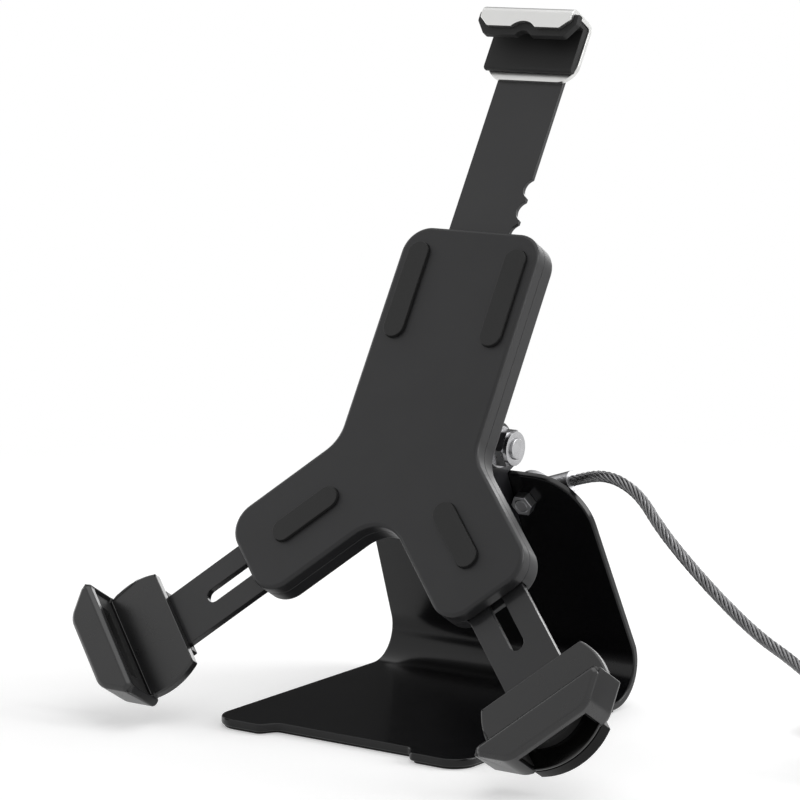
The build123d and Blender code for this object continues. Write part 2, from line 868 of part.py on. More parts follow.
grip_screw_places = mirrored_places((grip_screw_spread / 2, -grip_screw_reach))
wall_outer = held_corner_radius + grip_outside
wall_inner = wall_outer - grip_wall
floor_low = -grip_floor_back
floor_high = -grip_floor_front
lip_rear = held_room + liner_lip
end_cap_rear = arm_bottom - end_cap_floor


def turned_place(right, up):
    """A place given by distances right and up, in the corner frame turned by 45 degrees."""
    return ((right + up) / sqrt(2), (up - right) / sqrt(2))


def end_cap_ring(gap, outer):
    """The band of the grip's rim that the end cap covers, with a gap round it."""
    top = floor_low + end_cap_rim_height + gap
    half = end_cap_half_width + gap
    ring = rod(outer, floor_low, top) - rod(end_cap_radius - end_cap_rim - gap, floor_low, top)
    return ring & block((-half, half), (-outer, 0), (floor_low, top))


def grip_body():
    """Floor, two walls with a window between, and a bevelled lip."""
    outer_diagonal = wall_outer * sqrt(2)
    inner_diagonal = wall_inner * sqrt(2)
    end_out = turned_place(wall_outer, grip_wall_end)
    end_in = turned_place(wall_inner, grip_wall_end)
    corner = (outer_diagonal - grip_lip_outer, -grip_lip_outer)
    right = [end_in, end_out, corner]
    left = [(-x, y) for x, y in reversed(right)]
    radii = [0, 0, grip_lip_radius]
    shell = slab(rounded(right + left, radii + radii[::-1]), floor_low, grip_wall_front)
    rear_edges = shell.faces().sort_by(Axis.Z)[0].edges()
    outside = [edge for edge in rear_edges if edge.center().Y < end_out[1]]
    shell = fillet(outside, grip_wall_back_round)
    wide = outer_diagonal
    cavity_end = wide - inner_diagonal
    cavity_points = [(0, -inner_diagonal), (wide, cavity_end), (-wide, cavity_end)]
    cavity = make_face(Polyline(*cavity_points, close=True))
    shell -= slab(cavity, floor_high, grip_front)
    window = (-window_half_width, window_half_width)
    shell -= block(window, (-wide, wide), (floor_high, grip_front))
    disc = slab(Circle(grip_disc_radius), floor_low, floor_high)
    disc = fillet(disc.edges().group_by(Axis.Z)[-1], grip_disc_round)
    kept = block((-wide, wide), (-grip_lip_inner, grip_inner_reach), (floor_low, floor_high))
    shell += disc & kept
    side_foot = (grip_lip_half_length, grip_lip_half_length - outer_diagonal)
    lip_right = [(grip_lip_half_length, -grip_lip_inner), side_foot, corner]
    lip_left = [(-x, y) for x, y in reversed(lip_right)]
    tip = grip_tip_radius
    lip_radii = [tip, tip, grip_lip_radius]
    lip = slab(rounded(lip_right + lip_left, lip_radii + lip_radii[::-1]), lip_rear, grip_front)
    lip = chamfer(lip.faces().sort_by(Axis.Z)[-1].edges(), grip_bevel)
    shell += lip
    bite = floor_low + grip_screw_bite + slip_gap
    for place in grip_screw_places:
        shell -= rod(grip_screw_radius + slip_gap, floor_low, bite, *place)
    return shell - end_cap_ring(end_cap_gap, grip_disc_radius + play)


def grip_liner():
    """Rubber on the floor, the walls and the lip's underside."""
    inner_edge = -grip_lip_inner - liner_inset
    outer_edge = liner_inset - grip_lip_outer
    reach = wall_inner * sqrt(2) - liner_gap
    right = [(reach + inner_edge, inner_edge), (reach + outer_edge, outer_edge)]
    left = [(-x, y) for x, y in reversed(right)]
    rubber = slab(make_face(Polyline(*right, *left, close=True)), floor_high, lip_rear)
    window = window_half_width - liner_inset
    rubber -= block((-window, window), (-reach, 0), (0, held_room))
    pad_radius = held_corner_radius - liner_pad_inset
    beyond_pad = block((-window, window), (-reach, 0), (floor_high, 0))
    rubber -= beyond_pad - rod(pad_radius, floor_high, 0)
    middle = held_height / 2 - hub_above_lower_edge
    width = held_width + held_play * 2
    height = held_height + held_play * 2
    held = RectangleRounded(width, height, held_corner_radius + held_play)
    held_space = slab(Location((0, middle)) * held, 0, held_room)
    return on_corner(rubber) - held_space


def arm_end_cap():
    """Cover under the arm's end, with a pocket for the bar and a rim round the grip's floor."""
    cap = rod(end_cap_radius, end_cap_rear, arm_top)
    cap = fillet(cap.edges().sort_by(Axis.Z)[0], end_cap_edge_round)
    sides = (-end_cap_half_width, end_cap_half_width)
    cap = cap & block(sides, (-end_cap_radius, grip_inner_reach), (end_cap_rear, arm_top))
    half = arm_width / 2 + end_cap_gap
    foot = -arm_past_corner_centre - end_cap_gap
    pocket = (arm_bottom - running_gap, arm_top)
    cap -= block((-half, half), (foot, end_cap_radius), pocket)
    for place in grip_screw_places:
        cap -= rod(grip_screw_radius + slip_gap, end_cap_rear, arm_top, *place)
    return cap + end_cap_ring(0, end_cap_radius)


grip_screw = screw(
    grip_screw_radius,
    arm_top - end_cap_rear + grip_screw_bite,
    grip_screw_head_radius,
    grip_screw_head_height,
    grip_screw_radius,
    grip_screw_head_height / 2,
)
add_pair("arm_bar", on_corner(arm_bar()))
add_pair("grip", on_corner(grip_body()))
add_pair("grip_liner", grip_liner())
add_pair("arm_end_cap", on_corner(arm_end_cap()))
add_pair("grip_screws", on_corner(at_places(grip_screw, grip_screw_places, end_cap_rear)))


# Rope anchor on the neck's back
anchor_low = neck_rear - anchor_spacer - anchor_ring_thickness
anchor_high = neck_rear - anchor_spacer
anchor_axis_depth = (anchor_low + anchor_high) / 2
anchor_turn = radians(anchor_rise)
anchor_heading = Vector(cos(anchor_turn), sin(anchor_turn), 0)


def rope_anchor():
    """Eye and crimped barrel, one forging."""
    ring = rod(anchor_ring_radius, anchor_low, anchor_high)
    start = Plane((0, 0, anchor_axis_depth), Axis.Z.direction, anchor_heading)
    reach = anchor_ring_radius + anchor_ferrule_length
    barrel = start.location * rod(anchor_ferrule_radius, anchor_ring_radius - play * 2, reach)
    forging = ring + barrel - rod(anchor_screw_radius + slip_gap, anchor_low, anchor_high)
    return Location(anchor_place) * forging


anchor_screw = screw(
    anchor_screw_radius,
    neck_front - anchor_low + anchor_nut_height,
    anchor_head_radius,
    anchor_head_height,
    anchor_screw_radius * 2 - slip_gap,
    anchor_head_height / 2,
)
anchor_screw = Location((*anchor_place, anchor_low)) * anchor_screw
anchor_nut = nut(anchor_nut_across, neck_front, neck_front + anchor_nut_height)
anchor_nut -= rod(anchor_screw_radius + slip_gap, neck_front, neck_front + anchor_nut_height)
anchor_spacer_ring = washer(
    anchor_washer_radius, anchor_screw_radius + slip_gap, anchor_high, neck_rear
)
add("rope_anchor", on_neck(rope_anchor()))
add("anchor_screw", on_neck(anchor_screw))
add("anchor_nut", on_neck(Location(anchor_place) * anchor_nut))
add("anchor_spacer", on_neck(Location(anchor_place) * anchor_spacer_ring))


# Rope: run to the table, coil, tail, crimped ferrule and end loop
coil_outer = coil_mid_radius + coil_pitch * coil_half_turns / 4
coil_floor = coil_lift + rope_radius
rope_across = rope_radius * 2


def station(number):
    """A place on the coil each half turn, by turns on its near and its far side."""
    layer, step = divmod(number, coil_half_turns + 1)
    inward = step if layer % 2 == 0 else coil_half_turns - step
    radius = coil_outer - inward * coil_pitch / 2
    side = -1 if number % 2 == 0 else 1
    height = coil_floor + (coil_layers - 1 - layer) * coil_layer_pitch
    return Vector(coil_centre_x, coil_centre_y + side * radius, height)


def coil_path():
    """Half turns, each two arcs that meet on a slant, with a straight end each way."""
    last = coil_layers * (coil_half_turns + 1) - 1
    heading = Axis.X.direction
    start = station(0)
    edges = [Line(start - heading * rope_across, start)]
    for number in range(last):
        near, far = station(number), station(number + 1)
        reach = heading * ((far - near).length / 2)
        middle = (near + far) / 2 + reach
        slant = (far - near).normalized()
        edges.append(TangentArc(near, middle, tangent=heading))
        edges.append(TangentArc(middle, far, tangent=slant))
        heading = -heading
    end = station(last)
    edges.append(Line(end, end + heading * rope_across))
    return edges


def tube(edges, start, heading):
    """Rope swept along joined edges."""
    ring = Plane(start, z_dir=heading).location * Circle(rope_radius)
    return sweep(ring, path=Wire(edges))


def arc_radii(points):
    """Bend radii of a rope route, each as large as its two runs allow."""
    radii = []
    for before, here, after in zip(points, points[1:], points[2:]):
        run_in = Vector(here) - Vector(before)
        run_out = Vector(after) - Vector(here)
        half_turn = radians(run_in.get_angle(run_out)) / 2
        radii.append(run_share * min(run_in.length, run_out.length) / tan(half_turn))
    return radii


def least_self_gap(path, across):
    """Smallest gap of a tube to itself, measured on points along its path."""
    count = int(path.length / gap_step)
    points = [path.position_at(number / count) for number in range(count + 1)]
    skip = int(across * 3 / gap_step)
    near = across * 9
    for number, place in enumerate(points):
        for other in points[number + skip :: 1]:
            near = min(near, (place - other).length)
    return near - across


run_start = neck_plane.from_local_coords(
    Vector(*anchor_place, anchor_axis_depth)
    + anchor_heading * (anchor_ring_radius + anchor_ferrule_length)
)
run_end = station(0) - Axis.X.direction * rope_across
run_points = [tuple(run_start), *rope_route, tuple(run_end)]
run_radii = arc_radii(run_points)
run_path = FilletPolyline(*run_points, radius=run_radii)
rope_run = tube(run_path.edges(), run_start, run_path % 0)
coil_edges = [edge for piece in coil_path() for edge in piece.edges()]
coil_wire = Wire(coil_edges)
rope_coil = tube(coil_edges, run_end, Axis.X.direction)
coil_end = coil_wire @ 1


def eye_path(face_x, middle_y):
    """The loop beyond the ferrule, out along one strand and back along the other."""
    upper = [(0, strand_offset), (eye_neck, strand_offset), (eye_shoulder, eye_half_width)]
    upper.append((eye_length, eye_half_width))
    lower = [(x, -y) for x, y in reversed(upper)]
    places = [(face_x - x, middle_y + y, coil_floor) for x, y in upper + lower]
    bends = [eye_neck_radius, eye_half_width, eye_round]
    return FilletPolyline(*places, radius=bends + bends[::-1])


ferrule_y = coil_end.Y - strand_offset
eye_length_along = eye_path(0, 0).length
tail_length = rope_length - run_path.length - coil_wire.length - eye_length_along - end_ferrule_length
tail_end = coil_end - Axis.X.direction * tail_length
eye_start_x = tail_end.X - end_ferrule_length
eye = eye_path(eye_start_x, ferrule_y)
tail_edges = [Line(coil_end, tail_end)]
rope_tail = tube(tail_edges, coil_end, -Axis.X.direction)
rope_eye = tube(eye.edges(), eye @ 0, -Axis.X.direction)
ferrule_block = Box(end_ferrule_length, end_ferrule_width, end_ferrule_height)
ferrule_block = fillet(ferrule_block.edges().filter_by(Axis.X), end_ferrule_height / 3)
ferrule_middle = (tail_end.X - end_ferrule_length / 2, ferrule_y, coil_floor)


def coil_tie():
    """Strap round the turns on the coil's right-hand side."""
    coil_inner = coil_outer - coil_pitch * coil_half_turns / 2
    nearest = sqrt(coil_inner**2 - (tie_width / 2) ** 2) - rope_radius - tie_gap
    farthest = coil_outer - coil_pitch / 4 + rope_radius + tie_gap
    top = coil_floor + (coil_layers - 1) * coil_layer_pitch + rope_radius + tie_gap
    hole = ((coil_centre_x + nearest, coil_centre_x + farthest), (tie_thickness, top))
    across = (coil_centre_y - tie_width / 2, coil_centre_y + tie_width / 2)
    outside_x = (hole[0][0] - tie_thickness, hole[0][1] + tie_thickness)
    strap = block(outside_x, across, (0, top + tie_thickness))
    return strap - block(hole[0], across, hole[1])


add("rope_run", rope_run)
add("rope_coil", rope_coil)
add("rope_tail", rope_tail)
add("rope_eye", rope_eye)
add("rope_ferrule", Location(ferrule_middle) * ferrule_block)
add("coil_tie", coil_tie())

# Files and facts to check
for name, part in nodes.items():
    export_step(part, f"parts/{name}.step")
    box = part.bounding_box()
    sizes = [round(length, 1) for length in (*box.min, *box.max)]
    print(name, "solids", len(part.solids()), "box", sizes, "volume", round(part.volume, 1))

print("run radii", [round(radius, 1) for radius in run_radii])
print("run length", round(run_path.length, 1), "coil length", round(coil_wire.length, 1))
print("tail length", round(tail_length, 1), "loop length", round(eye_length_along, 1))
rope_area = rod(rope_radius, 0, 1).volume
for name, path in (("rope_run", run_path), ("rope_coil", coil_wire)):
    print(name, "volume share", round(nodes[name].volume / (rope_area * path.length), 4))
print("coil's least gap to itself", round(least_self_gap(coil_wire, rope_across), 2))
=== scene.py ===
import json
import math

import bmesh
import bpy
from mathutils import Matrix, Vector


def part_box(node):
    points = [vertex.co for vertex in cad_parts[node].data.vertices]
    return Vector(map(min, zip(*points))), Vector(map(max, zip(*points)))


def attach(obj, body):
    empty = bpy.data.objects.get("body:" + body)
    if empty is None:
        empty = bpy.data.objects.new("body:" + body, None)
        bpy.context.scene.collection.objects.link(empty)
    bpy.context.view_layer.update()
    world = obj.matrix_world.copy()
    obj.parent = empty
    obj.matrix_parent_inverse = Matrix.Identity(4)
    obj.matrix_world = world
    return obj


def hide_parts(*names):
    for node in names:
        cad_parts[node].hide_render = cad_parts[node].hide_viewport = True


# Counter stand with a locking head: a bent steel plate, a tilting and turning hub, two corner
# grips, a keyed top clamp and a steel security rope. Metres, Z up, the table at zero.
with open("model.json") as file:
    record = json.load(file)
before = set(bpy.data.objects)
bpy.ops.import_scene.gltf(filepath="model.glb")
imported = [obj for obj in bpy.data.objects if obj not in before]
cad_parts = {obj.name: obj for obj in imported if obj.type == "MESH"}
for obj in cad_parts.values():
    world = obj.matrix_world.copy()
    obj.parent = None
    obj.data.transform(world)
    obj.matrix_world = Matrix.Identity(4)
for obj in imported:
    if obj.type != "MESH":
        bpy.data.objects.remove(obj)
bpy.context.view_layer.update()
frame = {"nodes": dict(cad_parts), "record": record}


# Camera: a long lens a little above the table, off to the right of the user, as in the photo.
camera_place = (0.72058, -1.04714, 0.33007)
camera_turn = math.radians(35.06)
camera_dip = math.radians(9.33)
camera_data = bpy.data.cameras.new("camera")
camera_data.lens = 154.3
camera_data.sensor_width = 36.0
camera_data.clip_start = 0.05
camera_data.clip_end = 20.0
camera = bpy.data.objects.new("camera", camera_data)
bpy.context.scene.collection.objects.link(camera)
camera.location = camera_place
camera.rotation_euler = (math.pi / 2 - camera_dip, 0, camera_turn)
bpy.context.scene.camera = camera


# Security rope: eight bright steel strands laid round a core. It leaves its bolted eye on the
# neck's back and falls to the table. The rest is a tied coil past the view's edge, and it ends
# in a crimped ferrule and a loop.
rope_radius = 0.0022
rope_start = (0.04379, 0.03146, 0.09033)
rope_route = [
    (0.0532, 0.0301, 0.0935),
    (0.0616, 0.0290, 0.0939),
    (0.0698, 0.0280, 0.0917),
    (0.0770, 0.0272, 0.0871),
    (0.0837, 0.0264, 0.0789),
    (0.0950, 0.0250, 0.0686),
    (0.1120, 0.0238, 0.0548),
    (0.1295, 0.0218, 0.0434),
    (0.1445, 0.0190, 0.0376),
    (0.1595, 0.0144, 0.0308),
    (0.1720, 0.0106, 0.0234),
    (0.1845, 0.0092, 0.0177),
]
coil_middle = Vector((0.200, 0.040, 0.003))
coil_outer_radius = 0.0308
coil_pitch = 0.0058
coil_layer_pitch = 0.0049
coil_layers = 4
coil_half_turns = 4
coil_last_station = coil_layers * (coil_half_turns + 1) - 1
points_per_half_turn = 8
loop_places = ((0.006, 0.0025), (0.020, 0.014), (0.040, 0.014))
strand_spacing = 0.0025
strand_count = 8
strand_radius = 0.00060
strand_lay = 0.021
strand_points_per_lay = 12
line_resolution = 10
tube_roundness = 1
ferrule_low, ferrule_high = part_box("rope_ferrule")


def coil_station(number):
    """A place on the coil each half turn, by turns on its near and its far side."""
    layer, step = divmod(number, coil_half_turns + 1)
    inward = step if layer % 2 == 0 else coil_half_turns - step
    side = -1 if number % 2 == 0 else 1
    across = side * (coil_outer_radius - inward * coil_pitch / 2)
    return coil_middle + Vector((0, across, (coil_layers - 1 - layer) * coil_layer_pitch))


def coil_points():
    """Points round the coil, set out a little because a spline cuts inside its points."""
    push = 1 / math.cos(math.pi / points_per_half_turn / 2)
    points = []
    for number in range(coil_last_station):
        near, far = coil_station(number), coil_station(number + 1)
        middle = (near + far) / 2
        way = 1 if number % 2 == 0 else -1
        reach = way * (far - near).length / 2 * push
        for step in range(points_per_half_turn):
            turn = math.pi * (step + 0.5) / points_per_half_turn
            aside = (near.y - middle.y) * math.cos(turn) * push
            rise = (near.z - middle.z) * math.cos(turn)
            points.append(middle + Vector((reach * math.sin(turn), aside, rise)))
    return points


def loop_points():
    """Points through the ferrule, round the end loop and back into the ferrule."""
    middle_y = (ferrule_low.y + ferrule_high.y) / 2
    outward = [Vector((ferrule_high.x, middle_y + strand_spacing, coil_middle.z))]
    for along, aside in loop_places:
        outward.append(Vector((ferrule_low.x - along, middle_y + aside, coil_middle.z)))
    back = [Vector((place.x, 2 * middle_y - place.y, place.z)) for place in reversed(outward)]
    return outward + back


def curve_mesh(points, kind, thickness=0.0, roundness=0, resolution=1):
    """The mesh of a curve through points, a bare line or a round tube."""
    curve = bpy.data.curves.new("line", "CURVE")
    curve.dimensions = "3D"
    curve.resolution_u = resolution
    curve.bevel_depth = thickness
    curve.bevel_resolution = roundness
    curve.use_fill_caps = thickness > 0
    spline = curve.splines.new(kind)
    spline.points.add(len(points) - 1)
    for point, place in zip(spline.points, points):
        point.co = (*place, 1)
    if kind == "NURBS":
        spline.order_u = 3
        spline.use_endpoint_u = True
    holder = bpy.data.objects.new("line", curve)
    mesh = bpy.data.meshes.new_from_object(holder)
    bpy.data.objects.remove(holder)
    bpy.data.curves.remove(curve)
    return mesh


def even_points(points, step):
    """The same line with its points a steady step apart."""
    even, carried = [points[0]], 0.0
    for near, far in zip(points, points[1:]):
        length = (far - near).length
        while length > 0 and carried + length >= step:
            near = near.lerp(far, (step - carried) / length)
            even.append(near)
            length = (far - near).length
            carried = 0.0
        carried += length
    shortest_end = step / 4
    if (even[-1] - points[-1]).length > shortest_end:
        even.append(points[-1])
    return even


def wound_line(points, radius, first_turn, lay):
    """A strand's line: points that wind round another line as they go along it."""
    heading = (points[1] - points[0]).normalized()
    side = heading.orthogonal().normalized()
    wound, gone = [], 0.0
    for number, place in enumerate(points):
        if 0 < number < len(points) - 1:
            new_heading = (points[number + 1] - points[number - 1]).normalized()
            side = heading.rotation_difference(new_heading) @ side
            heading = new_heading
        if number:
            gone += (place - points[number - 1]).length
        turn = first_turn + math.tau * gone / lay
        out = side * math.cos(turn) + heading.cross(side) * math.sin(turn)
        wound.append(place + out * radius)
    return wound


def new_object(name, shape):
    """An object from a bmesh, shaded smooth, at the origin."""
    mesh = bpy.data.meshes.new(name)
    shape.to_mesh(mesh)
    shape.free()
    mesh.shade_smooth()
    made = bpy.data.objects.new(name, mesh)
    bpy.context.scene.collection.objects.link(made)
    return made


def surface_group():
    """Node group: soft patches shift tone and roughness, and a fine grain raises the surface."""
    group = bpy.data.node_groups.new("fine surface", "ShaderNodeTree")
    inputs = {
        "Colour": "NodeSocketColor",
        "Tone Shift": "NodeSocketFloat",
        "Roughness": "NodeSocketFloat",
        "Roughness Shift": "NodeSocketFloat",
        "Patch Scale": "NodeSocketFloat",
        "Grain Scale": "NodeSocketFloat",
        "Grain Depth": "NodeSocketFloat",
        "Stretch": "NodeSocketVector",
    }
    outputs = {
        "Colour": "NodeSocketColor",
        "Roughness": "NodeSocketFloat",
        "Normal": "NodeSocketVector",
    }
    for name, kind in inputs.items():
        group.interface.new_socket(name, in_out="INPUT", socket_type=kind)
    for name, kind in outputs.items():
        group.interface.new_socket(name, in_out="OUTPUT", socket_type=kind)
    noise_middle = 0.5
    full_tone = 1.0
    nodes, links = group.nodes, group.links
    given, result = nodes.new("NodeGroupInput"), nodes.new("NodeGroupOutput")
    place = nodes.new("ShaderNodeTexCoord")
    stretch = nodes.new("ShaderNodeVectorMath")
    stretch.operation = "MULTIPLY"
    links.new(place.outputs["Object"], stretch.inputs[0])
    links.new(given.outputs["Stretch"], stretch.inputs[1])
    patches = nodes.new("ShaderNodeTexNoise")
    patches.inputs["Detail"].default_value = 4.0
    links.new(stretch.outputs[0], patches.inputs["Vector"])
    links.new(given.outputs["Patch Scale"], patches.inputs["Scale"])
    centred = nodes.new("ShaderNodeMath")
    centred.operation = "SUBTRACT"
    centred.inputs[1].default_value = noise_middle
    links.new(patches.outputs["Fac"], centred.inputs[0])
    tone = nodes.new("ShaderNodeMath")
    tone.operation = "MULTIPLY_ADD"
    tone.inputs[2].default_value = full_tone
    links.new(centred.outputs[0], tone.inputs[0])
    links.new(given.outputs["Tone Shift"], tone.inputs[1])
    shade = nodes.new("ShaderNodeVectorMath")
    shade.operation = "SCALE"
    links.new(given.outputs["Colour"], shade.inputs[0])
    links.new(tone.outputs[0], shade.inputs["Scale"])
    links.new(shade.outputs[0], result.inputs["Colour"])
    rough = nodes.new("ShaderNodeMath")
    rough.operation = "MULTIPLY_ADD"
    rough.use_clamp = True
    links.new(centred.outputs[0], rough.inputs[0])
    links.new(given.outputs["Roughness Shift"], rough.inputs[1])
    links.new(given.outputs["Roughness"], rough.inputs[2])
    links.new(rough.outputs[0], result.inputs["Roughness"])
    grain = nodes.new("ShaderNodeTexNoise")
    grain.inputs["Detail"].default_value = 2.0
    links.new(stretch.outputs[0], grain.inputs["Vector"])
    links.new(given.outputs["Grain Scale"], grain.inputs["Scale"])
    raised = nodes.new("ShaderNodeBump")
    links.new(grain.outputs["Fac"], raised.inputs["Height"])
    links.new(given.outputs["Grain Depth"], raised.inputs["Distance"])
    links.new(raised.outputs["Normal"], result.inputs["Normal"])
    return group


fine_surface = surface_group()


def finish(name, colour, roughness, metallic=0.0, coat=0.0, specular=0.3, **surface_values):
    """A material whose tone, roughness and grain come from the fine surface group."""
    material = bpy.data.materials.new(name)
    material.use_nodes = True
    nodes, links = material.node_tree.nodes, material.node_tree.links
    shader = nodes["Principled BSDF"]
    shader.inputs["Metallic"].default_value = metallic
    shader.inputs["Coat Weight"].default_value = coat
    shader.inputs["Specular IOR Level"].default_value = specular
    surface = nodes.new("ShaderNodeGroup")
    surface.node_tree = fine_surface
    values = {
        "Colour": (*colour, 1),
        "Tone Shift": 0.3,
        "Roughness": roughness,
        "Roughness Shift": 0.1,
        "Patch Scale": 60.0,
        "Grain Scale": 2500.0,
        "Grain Depth": 0.00001,
        "Stretch": (1, 1, 1),
    }
    for key, value in surface_values.items():
        values[key.replace("_", " ").title()] = value
    for socket, value in values.items():
        surface.inputs[socket].default_value = value
    links.new(surface.outputs["Colour"], shader.inputs["Base Color"])
    links.new(surface.outputs["Roughness"], shader.inputs["Roughness"])
    links.new(surface.outputs["Normal"], shader.inputs["Normal"])
    return material


bodies = frame["record"]["behaviour"]["bodies"]
merge_distance = 0.000002
flat_angle = math.radians(0.4)
sharp_angle = math.radians(30)
needle_angle = math.radians(40)
spur_length = 0.0006
edge_segments = 3
flat_face_weight = 80
fine_edge = 0.0001
small_edge = 0.0002
plain_edge = 0.0003
heavy_edge = 0.0004


def sharp_edges(edges):
    """The edges where two faces meet at a clear angle."""
    return [e for e in edges if e.is_manifold and e.calc_face_angle() > sharp_angle]


def spur_end(shape):
    """The first corner where two sharp edges meet at a needle's angle, and where it closes to."""
    for corner in shape.verts:
        meeting = sharp_edges(corner.link_edges)
        for number, edge in enumerate(meeting):
            for other in meeting[:number]:
                a = edge.other_vert(corner).co - corner.co
                b = other.other_vert(corner).co - corner.co
                short = edge if a.length < b.length else other
                if a.angle(b) < needle_angle and short.calc_length() < spur_length:
                    return corner, short.other_vert(corner)
    return None


def softened(node, radius, material):
    """A CAD node's copy with merged triangles, rounded edges and its finish; the node goes."""
    shape = bmesh.new()
    shape.from_mesh(frame["nodes"][node].data)
    bmesh.ops.remove_doubles(shape, verts=shape.verts, dist=merge_distance)
    bmesh.ops.dissolve_limit(
        shape, angle_limit=flat_angle, verts=shape.verts, edges=shape.edges
    )
    spur = spur_end(shape)
    while spur:
        bmesh.ops.pointmerge(shape, verts=spur, merge_co=spur[1].co)
        spur = spur_end(shape)
    bmesh.ops.bevel(
        shape,
        geom=sharp_edges(shape.edges),
        offset=radius,
        offset_type="OFFSET",
        segments=edge_segments,
        profile=0.5,
        affect="EDGES",
        clamp_overlap=False,
        material=-1,
    )
    made = new_object(node + "_finished", shape)
    made.modifiers.new("flat faces stay flat", "WEIGHTED_NORMAL").weight = flat_face_weight
    made.data.materials.append(material)
    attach(made, next(body for body, nodes in bodies.items() if node in nodes))
    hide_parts(node)
    return made


rope_steel = finish(
    "steel rope strands",
    (0.19, 0.19, 0.194),
    roughness=0.27,
    metallic=1.0,
    patch_scale=900.0,
    tone_shift=1.2,
)
ferrule_steel = finish(
    "crimped ferrule",
    (0.45, 0.45, 0.46),
    roughness=0.3,
    metallic=1.0,
    patch_scale=300.0,
)
tie_weave = finish(
    "hook and loop tie",
    (0.016, 0.016, 0.017),
    roughness=0.85,
    patch_scale=200.0,
    grain_scale=1600.0,
    grain_depth=0.00015,
)

rope_controls = [Vector(rope_start)] + [Vector(place) for place in rope_route]
rope_controls += [coil_station(0), *coil_points()]
rope_controls += [coil_station(coil_last_station), *loop_points()]
line_mesh = curve_mesh(rope_controls, "NURBS", resolution=line_resolution)
rope_line = [vertex.co.copy() for vertex in line_mesh.vertices]
rope_line = even_points(rope_line, strand_lay / strand_points_per_lay)
rope_shape = bmesh.new()
core_radius = rope_radius - strand_radius * 2
rope_shape.from_mesh(curve_mesh(rope_line, "POLY", core_radius, tube_roundness))
for strand in range(strand_count):
    strand_line = wound_line(
        rope_line, rope_radius - strand_radius, math.tau * strand / strand_count, strand_lay
    )
    rope_shape.from_mesh(curve_mesh(strand_line, "POLY", strand_radius, tube_roundness))
rope = new_object("security_rope", rope_shape)
rope.data.materials.append(rope_steel)
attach(rope, "stand")
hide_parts("rope_run", "rope_coil", "rope_tail", "rope_eye")
rope_ferrule = softened("rope_ferrule", heavy_edge, ferrule_steel)
coil_tie = softened("coil_tie", fine_edge, tie_weave)


# Rope anchor: a steel eye with a crimped sleeve, bolted through the neck on a spacer with a
# socket screw and a small nut.
anchor_steel = finish(
    "anchor steel",
    (0.34, 0.34, 0.35),
    roughness=0.36,
    metallic=1.0,
    patch_scale=300.0,
)
softened("rope_anchor", fine_edge, anchor_steel)
for node in ("anchor_screw", "anchor_nut", "anchor_spacer"):
    softened(node, plain_edge, anchor_steel)


# Bent plate: one sheet of steel, foot, rear bend and neck, in gloss black paint that rounds
# every edge. The front has two shallow lobes.
black_paint = finish(
    "gloss black paint",
    (0.004, 0.004, 0.0045),
    roughness=0.2,
    roughness_shift=0.05,
    grain_scale=700.0,
    grain_depth=0.000003,
)
painted_edge = 0.0007
softened("base_plate", painted_edge, black_paint)


# Foot mat: a die-cut sheet of black rubber glued under the foot, set in from its edge.
mat_rubber = finish(
    "foot mat rubber",
    (0.018, 0.018, 0.018),
    roughness=0.75,
    grain_depth=0.00004,
)
softened("base_mat", small_edge, mat_rubber)


# Tilt hinge: a painted steel yoke screwed to the neck, with a zinc bolt, nut and washers that
# clamp the knuckle between its ears.
yoke_paint = finish("yoke paint", (0.018, 0.018, 0.020), roughness=0.3, coat=0.2)
zinc = finish(
    "bright zinc",
    (0.46, 0.46, 0.47),
    roughness=0.28,
    metallic=1.0,
    patch_scale=250.0,
)
nut_edge = 0.00002
softened("hinge_yoke", heavy_edge, yoke_paint)
softened("yoke_screws", plain_edge, zinc)
softened("hinge_bolt", plain_edge, zinc)
softened("hinge_nut", nut_edge, zinc)
softened("hinge_washers", fine_edge, zinc)


# Tilt knuckle: a black die casting with a round turning disc, a pale plastic slip ring and a
# steel keeper that three screws hold inside the hub.
cast_black = finish(
    "black die casting",
    (0.020, 0.020, 0.022),
    roughness=0.38,
    grain_depth=0.00003,
)
slip_plastic = finish("slip ring plastic", (0.60, 0.59, 0.55), roughness=0.5)
softened("tilt_knuckle", heavy_edge, cast_black)
softened("slip_ring", fine_edge, slip_plastic)
softened("turn_keeper", small_edge, zinc)
softened("keeper_screws", small_edge, zinc)


# Hub: two moulded shells in fine-grained black, screwed together round the arms, with four
# soft rubber pads on the front.
hub_plastic = finish(
    "hub moulding",
    (0.020, 0.020, 0.021),
    roughness=0.42,
    grain_scale=1800.0,
    grain_depth=0.00001,
)
pad_rubber = finish(
    "black rubber",
    (0.012, 0.012, 0.012),
    roughness=0.62,
    grain_depth=0.00003,
)
screw_black = finish(
    "blackened screws",
    (0.05, 0.05, 0.055),
    roughness=0.3,
    metallic=1.0,
    patch_scale=300.0,
)
softened("front_cover", plain_edge, hub_plastic)
softened("rear_cover", plain_edge, hub_plastic)
softened("hub_pads", plain_edge, pad_rubber)
softened("cover_screws", small_edge, screw_black)


# Key lock: a chromed barrel and plug in the hub's back, with the keyway across the plug.
lock_chrome = finish("lock chrome", (0.72, 0.72, 0.73), roughness=0.14, metallic=1.0)
softened("lock_barrel", plain_edge, lock_chrome)
softened("lock_plug", small_edge, lock_chrome)


